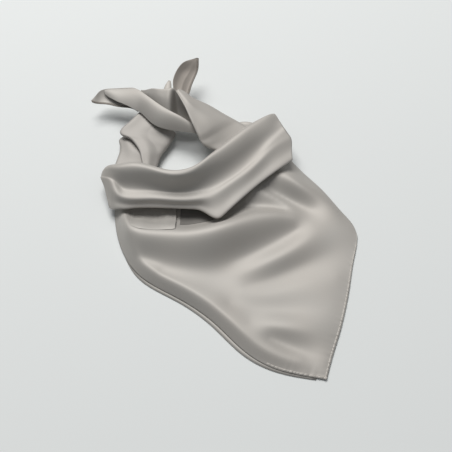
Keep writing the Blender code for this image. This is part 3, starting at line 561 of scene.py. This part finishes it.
def spline(knots, values, at):
    """Values at the places in at, on the smooth curve that passes through values at knots."""
    knots, values, at = np.asarray(knots, float), np.asarray(values, float), np.asarray(at, float)
    steps = np.diff(knots)
    slopes = np.diff(values, axis=0) / steps[:, None]
    system, right = np.eye(len(knots)), np.zeros_like(values)
    for i in range(1, len(knots) - 1):
        system[i, i - 1 : i + 2] = steps[i - 1], 2 * (steps[i - 1] + steps[i]), steps[i]
        right[i] = 6 * (slopes[i] - slopes[i - 1])
    bend = np.linalg.solve(system, right)
    i = np.clip(np.searchsorted(knots, at, side="right") - 1, 0, len(knots) - 2)
    a = ((knots[i + 1] - at) / steps[i])[:, None]
    b = 1 - a
    curve = (a**3 - a) * bend[i] + (b**3 - b) * bend[i + 1]
    return a * values[i] + b * values[i + 1] + curve * (steps[i] ** 2)[:, None] / 6


def chords(points):
    """Places of the points along their own line, from 0 to 1."""
    lengths = np.linalg.norm(np.diff(np.asarray(points, float), axis=0), axis=1)
    return np.concatenate([[0], np.cumsum(lengths)]) / lengths.sum()


def mean_chords(lines):
    """One set of places for several lines with as many points each."""
    return np.mean([chords(line) for line in lines], axis=0)


def lofted(sections):
    """The smooth surface through sections, as a function of the places across (u) and along (v)."""
    grid = np.array(sections, float)
    along, across = mean_chords(grid.swapaxes(0, 1)), mean_chords(grid)

    def surface(u, v):
        by_section = spline(along, np.eye(len(along)), v)
        by_point = spline(across, np.eye(len(across)), u)
        return np.einsum("ns,nt,stk->nk", by_section, by_point, grid)

    return surface


def level(vector):
    """The unit vector along the level part of a vector."""
    flat = vector * (1, 1, 0)
    return flat / np.linalg.norm(flat)

def roll_section(row):
    """The points of one section of the neck roll, from the foot of its back over its rim to its edge."""
    rim, valley, crest, edge = (np.array(p, float) for p in (row.rim, row.valley, row.crest, row.edge))
    out, under = level(rim - valley), level(crest - edge)
    slope, depth = valley - rim, rim[2] - valley[2]
    behind = rim + row.deep * out
    height = rim[2] - row.back
    return [
        behind - BACK_FOOT_IN * row.deep * out - UP * height,
        behind + BACK_BULGE * row.deep * out - UP * 0.5 * height,
        behind - UP * BACK_ROUND * row.deep,
        rim,
        *(rim + place.way * slope + UP * place.above * depth for place in ROLL_SLOPE),
        valley + UP * VALLEY_ROUND,
        0.5 * (valley + crest) + UP * LEDGE_CROWN,
        crest,
        crest + FACE_PLACE * (edge - crest) - UP * FACE_HOLLOW,
        edge,
        edge + 0.5 * row.curl * under - UP * min(CURL_MIDDLE_DROP, row.curl),
        edge + row.curl * under - UP * min(CURL_DROP, row.curl),
    ]


def crowned(row, t):
    """The place at t, from 0 at a to 1 at b, across a strip."""
    a, b = np.array(row.a, float), np.array(row.b, float)
    return a + t * (b - a) + UP * row.crown * (1 - (2 * t - 1) ** 2)


def strip_sections(rows):
    """The points across each row of a strip: its edges, a crowned middle, and the cloth past its edges."""
    sections = []
    for row in rows:
        across = level(np.array(row.b, float) - row.a)
        points = [crowned(row, t) for t in STRIP_PLACES]
        if rows[0].drop_a:
            points.insert(0, points[0] + across * row.roll_a - UP * row.drop_a)
        if rows[0].drop_b:
            points.append(points[-1] - across * row.roll_b - UP * row.drop_b)
        sections.append(points)
    return sections


def core_ring(row, first, last):
    """One closed ring of the solid of hidden layers under a strip, from first to last across it."""
    a, b = np.array(row.a, float), np.array(row.b, float)
    slant = np.linalg.norm(b - a) / np.linalg.norm((b - a)[:2])
    tops = [crowned(row, t) - UP * CORE_GAP * slant for t in np.linspace(first, last, CORE_PLACES)]
    across = level(b - a)
    low = [tops[-1] * (1, 1, 0) + across, tops[0] * (1, 1, 0) - across]
    return tops + [tops[-1] + across - UP * CORE_CORNER] + low + [tops[0] - across - UP * CORE_CORNER]


def roll_core_ring(row):
    """One closed ring of the layers inside the neck roll."""
    rim, valley = np.array(row.rim, float), np.array(row.valley, float)
    out = level(rim - valley)
    corner = ROLL_CORE_ROUND
    front, back = valley + corner * out, rim + (row.deep - ROLL_CORE_INSET) * out
    front_foot, back_foot = (place * (1, 1, 0) + UP * ROLL_CORE_BOTTOM for place in (front, back))
    return [
        front - UP * ROLL_CORE_INSET,
        rim + ROLL_SLOPE[0].way * (valley - rim) + UP * ROLL_CORE_SWELL,
        rim - UP * ROLL_CORE_GAP,
        back - UP * ROLL_CORE_DROP,
        back_foot + UP * corner,
        back_foot - out * corner,
        front_foot + out * corner,
        front_foot + UP * corner,
    ]


def line_points(points, count):
    """A smooth line through points, at count even places."""
    points = np.array(points, float)
    return spline(chords(points), points, np.linspace(0, 1, count))


def bib_plan(u, v, outline=BIB_LEFT):
    """Places in plan on the bib, u from its left side to its right fold and v from its top to the hem."""
    left, right, top, hem = (np.array(p, float) for p in (outline, BIB_RIGHT, BIB_TOP, BIB_HEM))
    top[0], hem[0] = left[0], left[-1]
    on_left, on_right = (spline(chords(p), p, v) for p in (left, right))
    on_top, on_hem = (spline(chords(p), p, u) for p in (top, hem))
    u, v = u[:, None], v[:, None]
    corners = (1 - v) * ((1 - u) * left[0] + u * right[0]) + v * ((1 - u) * left[-1] + u * right[-1])
    return (1 - u) * on_left + u * on_right + (1 - v) * on_top + v * on_hem - corners


def held_places(line):
    """Places along a line, close enough to hold the cloth to its height all along."""
    points = np.array(line, float)
    length = np.linalg.norm(np.diff(points, axis=0), axis=1).sum()
    return line_points(points, max(2, round(length / LINE_SPACING)))


def bib_places():
    """All the places that hold the bib's form, its border too, and how far it may ease off each."""
    border = [[(x, y, SECOND_LAYER) for x, y in side] for side in (BIB_RIGHT, BIB_TOP, BIB_HEM)]
    inside = np.concatenate([held_places(line) for line in BIB_LINES])
    edges = np.concatenate([held_places(line) for line in border])
    ease = np.concatenate([np.full(len(inside), FOLD_EASE), np.full(len(edges), BORDER_EASE)])
    return np.concatenate([inside, edges]), ease


def thin_plate(distance):
    """How a place's pull on a bent thin plate falls with distance."""
    return distance**2 * np.log(np.maximum(distance, 1e-6))


class Plate:
    """The smoothest surface through given places, bent as a thin plate bends."""

    def __init__(self, places, ease):
        self.x, self.y = places[:, 0], places[:, 1]
        count = len(places)
        away = np.hypot(self.x[:, None] - self.x, self.y[:, None] - self.y)
        flat = np.column_stack([np.ones(count), self.x, self.y])
        system = np.zeros((count + 3, count + 3))
        system[:count, :count] = thin_plate(away) + np.diag(ease)
        system[:count, count:], system[count:, :count] = flat, flat.T
        self.pull = np.linalg.solve(system, np.concatenate([places[:, 2], np.zeros(3)]))

    def height(self, x, y):
        away = np.hypot(x[:, None] - self.x, y[:, None] - self.y)
        return thin_plate(away) @ self.pull[:-3] + self.pull[-3] + self.pull[-2] * x + self.pull[-1] * y


BIB_PLATE = Plate(*bib_places())
LEFT_SIDE = line_points(BIB_LEFT, EDGE_PLACES)


def bib_height(x, y):
    """How high the front layer of the bib lies at the places x, y."""
    height = np.maximum(BIB_PLATE.height(x, y), SECOND_LAYER)
    inside = np.hypot(x[:, None] - LEFT_SIDE[:, 0], y[:, None] - LEFT_SIDE[:, 1]).min(1)
    rolled = np.sin(0.5 * np.pi * np.clip(inside / EDGE_ROLL, 0, 1))
    return SECOND_LAYER + (height - SECOND_LAYER) * rolled


def wave(place, length, shift=0.0):
    """A wave of this length along a hem."""
    return np.sin(2 * np.pi * place / length + shift)


def puckers(place, inside, height):
    """Small uneven waves that a hem's stitches draw in the cloth, place along the hem and inside it."""
    drawn = wave(place, PUCKER, PUCKER_UNEVEN * wave(place, PUCKER_DRIFT))
    drawn *= PUCKER_LOW + (1 - PUCKER_LOW) * wave(place, PUCKER_SWELL, PUCKER_SHIFT)
    fine = FINE_SHARE * wave(place, FINE_PUCKER, FINE_UNEVEN * wave(place, FINE_DRIFT))
    fading = np.exp(-inside / PUCKER_REACH)
    fine_fading = np.exp(-inside / (FINE_SHARE * PUCKER_REACH))
    return height * ((drawn + 1) * fading + fine * fine_fading)


def bib_surface(u, v):
    """The front layer of the bib, with its folds and the puckers along its two sewn edges."""
    plan = bib_plan(u, v)
    height = bib_height(plan[:, 0], plan[:, 1])
    height += puckers(u * HEM_LENGTH, (1 - v) * BIB_LENGTH, PUCKER_RIGHT)
    near_point = np.clip((v - HEM_LEFT_FROM) / HEM_LEFT_FADE, 0, 1)
    height += puckers(v * LEFT_LENGTH, u * BIB_WIDTH, PUCKER_LEFT) * near_point
    return np.column_stack([plan, height])


def merging(u, v):
    """How thick a resting sheet is: 1 inside, and less where it runs into the bib on its left and below."""
    inside = np.minimum(u / MERGE_ACROSS, v / MERGE_ALONG)
    return MERGED + (1 - MERGED) * np.sin(0.5 * np.pi * np.clip(inside, 0, 1))


def resting(surface, rise, swells):
    """A sheet that follows the bib's form and rises off it towards its right edge and at its swells."""

    def lying(u, v):
        points = surface(u, v)
        x, y = points[:, 0], points[:, 1]
        under = bib_height(x, y)
        slope = np.hypot(bib_height(x + PROBE, y) - under, bib_height(x, y + PROBE) - under) / PROBE
        free = merging(u, v)
        apart = 0.5 * SILK * (1 + free) + CLEARANCE + (LIFT + rise * v**4) * free
        for swell in swells:
            spread = ((u - swell.u) / swell.across) ** 2 + ((v - swell.v) / swell.along) ** 2
            apart = apart + swell.height * np.exp(-spread)
        return np.column_stack([x, y, under + apart * np.sqrt(1 + slope**2)])

    return lying


def back_surface(u, v):
    """The layer under it, flat on the floor. It shows only past the left side."""
    plan = bib_plan(BACK_WIDTH * u, BACK_FROM + BACK_LENGTH * v, BACK_LEFT)
    return np.column_stack([plan, np.full(len(plan), FLOOR_LAYER)])


def lengthwise(surface, v_from, v_to):
    """The stretch of a surface between these places along it."""

    def stretch(u, v):
        return surface(u, v_from + (v_to - v_from) * v)

    return stretch


def rounded_ridge(distance, reach):
    """1 on a crease's line, falling evenly to 0 at its reach, and rounded at both."""
    away = np.sqrt(distance**2 + CREASE_ROUND**2) - CREASE_ROUND
    left = np.clip(1 - away / reach, 0, 1)
    full = RIDGE_FOOT * (2 - RIDGE_FOOT)
    return np.where(left < RIDGE_FOOT, left**2, RIDGE_FOOT * (2 * left - RIDGE_FOOT)) / full


def crease_height(x, y, rows, size):
    """How far one crease lifts the cloth at the places x, y, in millimetres across and along a strip."""
    places = [(row.u * size[0], row.v * size[1], row.height, row.width, row.width) for row in rows]
    line = line_points(places, CREASE_PLACES)
    starts, ends = line[:-1, :2], line[1:, :2]
    along = ends - starts
    lengths = (along**2).sum(1)
    best = np.full(len(x), np.inf)
    place = np.zeros(len(x))
    for i in range(len(starts)):
        dx, dy = x - starts[i, 0], y - starts[i, 1]
        t = np.clip((dx * along[i, 0] + dy * along[i, 1]) / lengths[i], 0, 1)
        gone = np.hypot(dx - t * along[i, 0], dy - t * along[i, 1])
        place = np.where(gone < best, i + t, place)
        best = np.minimum(gone, best)
    height, width = (np.interp(place, np.arange(len(line)), line[:, k]) for k in (2, 3))
    return height * rounded_ridge(best, np.maximum(width, 1))


def normals(surface, u, v):
    """The points of a surface and its unit normals."""
    points = surface(u, v)
    step = NORMAL_STEP
    across = surface(np.minimum(u + step, 1), v) - surface(np.maximum(u - step, 0), v)
    along = surface(u, np.minimum(v + step, 1)) - surface(u, np.maximum(v - step, 0))
    normal = np.cross(across, along)
    lengths = np.linalg.norm(normal, axis=1, keepdims=True)
    return points, normal / np.maximum(lengths, 1e-9)


def creased(surface, size, creases):
    """The surface moved out along its normals by its creases. size is how wide and long it is."""

    def moved(u, v):
        points, normal = normals(surface, u, v)
        rise = sum(crease_height(u * size[0], v * size[1], rows, size) for rows in creases)
        return points + normal * rise[:, None]

    return moved


def new_object(name, bm, finish):
    """A piece of the scene from a bmesh in millimetres."""
    mesh = bpy.data.meshes.new(name)
    bmesh.ops.translate(bm, vec=CENTRE, verts=bm.verts)
    bmesh.ops.scale(bm, vec=(MM, MM, MM), verts=bm.verts)
    bm.to_mesh(mesh)
    bm.free()
    mesh.materials.append(finish)
    mesh.shade_smooth()
    made = bpy.data.objects.new(name, mesh)
    bpy.context.scene.collection.objects.link(made)
    return made


def skin(bm, rings):
    """Faces over closed rings of points, with both ends capped."""
    loops = [[bm.verts.new(point) for point in ring] for ring in rings]
    for one, two in zip(loops, loops[1:]):
        for k in range(len(one)):
            j = (k + 1) % len(one)
            bm.faces.new((one[k], one[j], two[j], two[k]))
    bm.faces.new(loops[0][::-1])
    bm.faces.new(loops[-1])


def cloth(name, surface, grid, finish, size, thinning=None):
    """A thin shell laid on surface(u, v). Its UV map is in millimetres of cloth, for the weave."""
    bm = bmesh.new()
    bmesh.ops.create_grid(bm, x_segments=grid[0], y_segments=grid[1], size=0.5)
    places = np.array([vert.co[:2] for vert in bm.verts]) + 0.5
    weave = bm.loops.layers.uv.new("cloth")
    for face in bm.faces:
        for loop in face.loops:
            x, y = places[loop.vert.index]
            loop[weave].uv = (x * size[0], y * size[1])
    for vert, point in zip(bm.verts, surface(places[:, 0], places[:, 1])):
        vert.co = point
    made = new_object(name, bm, finish)
    thickness = made.modifiers.new("cloth", "SOLIDIFY")
    thickness.thickness = SILK * MM
    thickness.offset = 0
    if thinning:
        group = made.vertex_groups.new(name="thick")
        for index, weight in enumerate(thinning(places[:, 0], places[:, 1])):
            group.add([index], float(weight), "REPLACE")
        thickness.vertex_group = group.name
    return made


def sewn_at(length):
    """The number of stitches up to a length along a hem, by hand, so never quite evenly spaced."""
    drift = sum(row.amount * np.sin(length / row.reach + row.shift) for row in STITCH_DRIFTS)
    return (length + drift) / STITCH


def hem(name, surface, steps, finish, at_u=None):
    """A rolled hem: a flat tube along one edge of a surface, drawn in at its stitches.

    It runs along the edge at the place at_u across the surface, 0 or 1, or else along its far end.
    """
    places = np.linspace(0, 1, steps)
    if at_u is None:
        edge, inside = (surface(places, np.full(steps, v)) for v in (1.0, 1 - HEM_STEP))
    else:
        edge, inside = (surface(np.full(steps, u), places) for u in (float(at_u), abs(at_u - HEM_STEP)))
    outward = edge - inside
    outward /= np.linalg.norm(outward, axis=1, keepdims=True)
    forward = np.gradient(edge, axis=0)
    length = np.concatenate([[0], np.cumsum(np.linalg.norm(np.diff(edge, axis=0), axis=1))])
    forward /= np.linalg.norm(forward, axis=1, keepdims=True)
    raised = np.cross(outward, forward)
    raised *= np.sign(raised[:, 2:3])
    waist = 1 - HEM_WAIST * np.abs(np.cos(np.pi * sewn_at(length))) ** WAIST_POWER
    rings = []
    for i in range(steps):
        ring = []
        for k in range(HEM_SIDES):
            angle = 2 * np.pi * k / HEM_SIDES
            x = 0.5 * HEM * np.cos(angle) * (1 - HEM_NARROWING + HEM_NARROWING * waist[i])
            z = 0.5 * HEM_HEIGHT * np.sin(angle) * waist[i]
            ring.append(edge[i] + outward[i] * (x - 0.5 * HEM) + raised[i] * (z + HEM_RAISE))
        rings.append(ring)
    bm = bmesh.new()
    skin(bm, rings)
    bmesh.ops.recalc_face_normals(bm, faces=bm.faces)
    return new_object(name, bm, finish), HemLine(edge, outward, forward, raised, length)


def stitches(name, line, finish):
    """Small slanted stitches that hold a rolled hem, one for each waist of the hem."""
    bm = bmesh.new()
    for n in range(1, int(line.length[-1] / STITCH)):
        at = np.interp(n, sewn_at(line.length), line.length)
        place, side, on, top = (
            np.array([np.interp(at, line.length, values[:, k]) for k in range(3)])
            for values in (line.edge, line.outward, line.forward, line.raised)
        )
        middle = place - side * 0.5 * HEM
        rings = []
        for t in np.linspace(0, 1, STITCH_POINTS):
            angle = np.pi * (STITCH_END + (1 - 2 * STITCH_END) * t)
            reach = STITCH_REACH * HEM * np.cos(angle)
            rise = STITCH_RISE * HEM_HEIGHT * np.sin(angle) + HEM_RAISE
            point = middle + side * reach + top * rise + on * (t - 0.5) * STITCH_SLANT
            turns = 2 * np.pi * np.arange(THREAD_SIDES) / THREAD_SIDES
            rings.append([point + 0.5 * THREAD * (on * np.cos(a) + top * np.sin(a)) for a in turns])
        skin(bm, rings)
    bmesh.ops.recalc_face_normals(bm, faces=bm.faces)
    return new_object(name, bm, finish)


def layered_core(name, rings, finish):
    """The hidden folded layers as one rounded solid, with a groove at its sides between two layers."""
    grid = np.array(rings, float)
    along = mean_chords(grid.swapaxes(0, 1))
    at = np.linspace(0, 1, CORE_STEPS * (len(rings) - 1) + 1)
    shape = spline(along, grid.reshape(len(rings), -1), at).reshape(len(at), -1, 3)
    loops = []
    for ring in shape:
        middle = ring.mean(0)
        points = []
        for one, two in zip(ring, np.roll(ring, -1, axis=0)):
            side = abs(two[2] - one[2]) > SIDE_HEIGHT
            steps = SIDE_STEPS if side else EDGE_STEPS
            for k in range(steps):
                point = one + (two - one) * (k / steps)
                if side:
                    groove = GROOVE * np.abs(np.cos(np.pi * point[2] / LAYER)) ** GROOVE_POWER
                    point = point + level(middle - point) * groove
                points.append(point)
        loops.append(points)
    bm = bmesh.new()
    skin(bm, loops)
    bmesh.ops.recalc_face_normals(bm, faces=bm.faces)
    return new_object(name, bm, finish)


def set_inputs(made, values):
    """Set the inputs of a node that values names."""
    for name, value in values.items():
        made.inputs[name].default_value = value


def node(tree, kind, inputs=None, **settings):
    """A new node with its settings and inputs."""
    made = tree.nodes.new(kind)
    for name, value in settings.items():
        setattr(made, name, value)
    set_inputs(made, inputs or {})
    return made


def new_material(name):
    """A material with its node tree and its shader."""
    finish = bpy.data.materials.new(name)
    finish.use_nodes = True
    return finish, finish.node_tree, finish.node_tree.nodes["Principled BSDF"]


def satin_material(name, look):
    """Plain satin: a soft sheen, fine floats of thread as bump, and a slight unevenness in its colour."""
    finish, tree, shader = new_material(name)
    set_inputs(shader, {"Roughness": look.roughness, **SATIN_SHEEN})
    place = node(tree, "ShaderNodeTexCoord")
    patches = node(tree, "ShaderNodeTexNoise", PATCHES)
    tree.links.new(place.outputs["Object"], patches.inputs["Vector"])
    tint = node(tree, "ShaderNodeMix", {"A": look.colour, "B": look.warm}, data_type="RGBA")
    ramp = node(tree, "ShaderNodeMapRange", PATCH_RANGE)
    tree.links.new(patches.outputs["Fac"], ramp.inputs["Value"])
    tree.links.new(ramp.outputs["Result"], tint.inputs["Factor"])
    tree.links.new(tint.outputs["Result"], shader.inputs["Base Color"])
    cloth_map = node(tree, "ShaderNodeUVMap", uv_map="cloth")
    floats = node(tree, "ShaderNodeTexWave", WEAVE, wave_type="BANDS", bands_direction="X")
    tree.links.new(cloth_map.outputs["UV"], floats.inputs["Vector"])
    bump = node(tree, "ShaderNodeBump", WEAVE_BUMP)
    tree.links.new(floats.outputs["Fac"], bump.inputs["Height"])
    tree.links.new(bump.outputs["Normal"], shader.inputs["Normal"])
    return finish


def thread_material():
    """Thread, with a fine twist in its colour."""
    finish, tree, shader = new_material("hem thread")
    shader.inputs["Roughness"].default_value = THREAD_ROUGHNESS
    place = node(tree, "ShaderNodeTexCoord")
    twist = node(tree, "ShaderNodeTexNoise", THREAD_TWIST)
    tree.links.new(place.outputs["Object"], twist.inputs["Vector"])
    ramp = node(tree, "ShaderNodeValToRGB")
    ramp.color_ramp.elements[0].color = THREAD_DARK
    ramp.color_ramp.elements[1].color = THREAD_PALE
    tree.links.new(twist.outputs["Fac"], ramp.inputs["Fac"])
    tree.links.new(ramp.outputs["Color"], shader.inputs["Base Color"])
    return finish


def floor_material():
    """A pale, dull floor."""
    finish, tree, shader = new_material("pale floor")
    set_inputs(shader, FLOOR_SHADER)
    return finish


def area_light(name, place, size, power, colour):
    """A square soft light that faces the scarf."""
    lamp = bpy.data.lights.new(name, "AREA")
    lamp.energy = power
    lamp.size = size
    lamp.color = colour
    made = bpy.data.objects.new(name, lamp)
    bpy.context.scene.collection.objects.link(made)
    made.location = place
    made.rotation_mode = "QUATERNION"
    made.rotation_quaternion = (-Vector(place)).to_track_quat("-Z", "Y")


def stage_and_camera():
    """A pale floor, a big soft light behind the scarf, a weak fill and the camera at the photo's angle."""
    scene = bpy.context.scene
    scene.view_settings.view_transform = "Standard"
    world = bpy.data.worlds.new("studio")
    scene.world = world
    world.use_nodes = True
    set_inputs(world.node_tree.nodes["Background"], {"Color": WORLD_COLOUR, "Strength": WORLD_LIGHT})
    area_light("key", KEY_PLACE, KEY_SIZE, KEY_LIGHT, KEY_COLOUR)
    bm = bmesh.new()
    bmesh.ops.create_grid(bm, x_segments=1, y_segments=1, size=FLOOR_SIZE)
    mesh = bpy.data.meshes.new("floor")
    bm.to_mesh(mesh)
    bm.free()
    mesh.materials.append(floor_material())
    floor = bpy.data.objects.new("floor", mesh)
    scene.collection.objects.link(floor)
    camera = bpy.data.objects.new("camera", bpy.data.cameras.new("camera"))
    scene.collection.objects.link(camera)
    camera.data.lens = CAMERA_LENS
    camera.data.sensor_width = CAMERA_SENSOR
    look = Vector((0, math.cos(CAMERA_ELEVATION), -math.sin(CAMERA_ELEVATION)))
    camera.location = CAMERA_TARGET - CAMERA_DISTANCE * look
    camera.rotation_mode = "QUATERNION"
    camera.rotation_quaternion = look.to_track_quat("-Z", "Y")
    scene.camera = camera


def put(piece, nodes):
    """Tie a piece to the scarf's body and hide the frame's nodes that it stands for."""
    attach(piece, "root")
    if nodes:
        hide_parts(*nodes)
    return piece


def lay(piece, node_name):
    """Tie a sheet of satin as put does."""
    put(piece, [node_name])


def sewn_hem(name, node_name, surface, steps, finish, thread, at_u=None):
    """A rolled hem and its stitches."""
    made, line = hem(name, surface, steps, finish, at_u)
    put(made, [node_name])
    return [made, put(stitches(name + "_stitches", line, thread), [])]


def main():
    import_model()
    looks = {name: satin_material(name, look) for name, look in SATINS.items()}
    satin, thread = looks["satin"], thread_material()

    # The bib: two layers, with the rolled hems that show.
    bib_size = (BIB_WIDTH, BIB_LENGTH)
    back = cloth("cloth_bib_back", back_surface, BACK_GRID, satin, bib_size)
    lay(back, "bib_back")
    hems = sewn_hem("hem_right", "bib_right_hem", bib_surface, RIGHT_HEM_STEPS, looks["hem satin"], thread)
    near_point = lengthwise(bib_surface, HEM_LEFT_FROM, 1)
    hems += sewn_hem("hem_left", "bib_left_hem", near_point, HEM_STEPS, looks["hem satin"], thread, at_u=0)
    inside_hem = lengthwise(bib_surface, 0, 1 - UNDER_HEM)
    front = cloth("cloth_bib_front", inside_hem, FRONT_GRID, satin, bib_size)
    lay(front, "bib_front")

    roll_surface = lofted([roll_section(row) for row in NECK_ROLL])
    roll = cloth("cloth_neck_roll", roll_surface, ROLL_GRID, satin, ROLL_SIZE)
    lay(roll, "neck_roll")

    for name, band in BANDS.items():
        surface = lofted(strip_sections(band.rows))
        if name in CREASES:
            surface = creased(surface, band.size, CREASES[name])
        hems = []
        if name in HEMMED_EDGE:
            dark, edge = looks["hem satin in shade"], HEMMED_EDGE[name]
            hems = sewn_hem("hem_" + name, name + "_hem", surface, HEM_STEPS, dark, thread, at_u=edge)
        piece = cloth("cloth_" + name, surface, STRIP_GRID, looks[band.satin], band.size)
        lay(piece, name)

    for name, fill in FILLS.items():
        laid = resting(lofted(strip_sections(fill.rows)), fill.rise, fill.swells)
        thinning = merging if fill.merges else None
        piece = cloth("cloth_" + name, laid, COWL_GRID, looks[fill.satin], fill.size, thinning)
        lay(piece, name)

    rings = {"neck_roll_core": [roll_core_ring(row) for row in ROLL_CORE_ROWS]}
    for name, core in CORES.items():
        rings[name] = [core_ring(row, core.first, core.last) for row in core.rows]
    for name in rings:
        put(layered_core("layers_" + name, rings[name], satin), [name])

    stage_and_camera()


main()
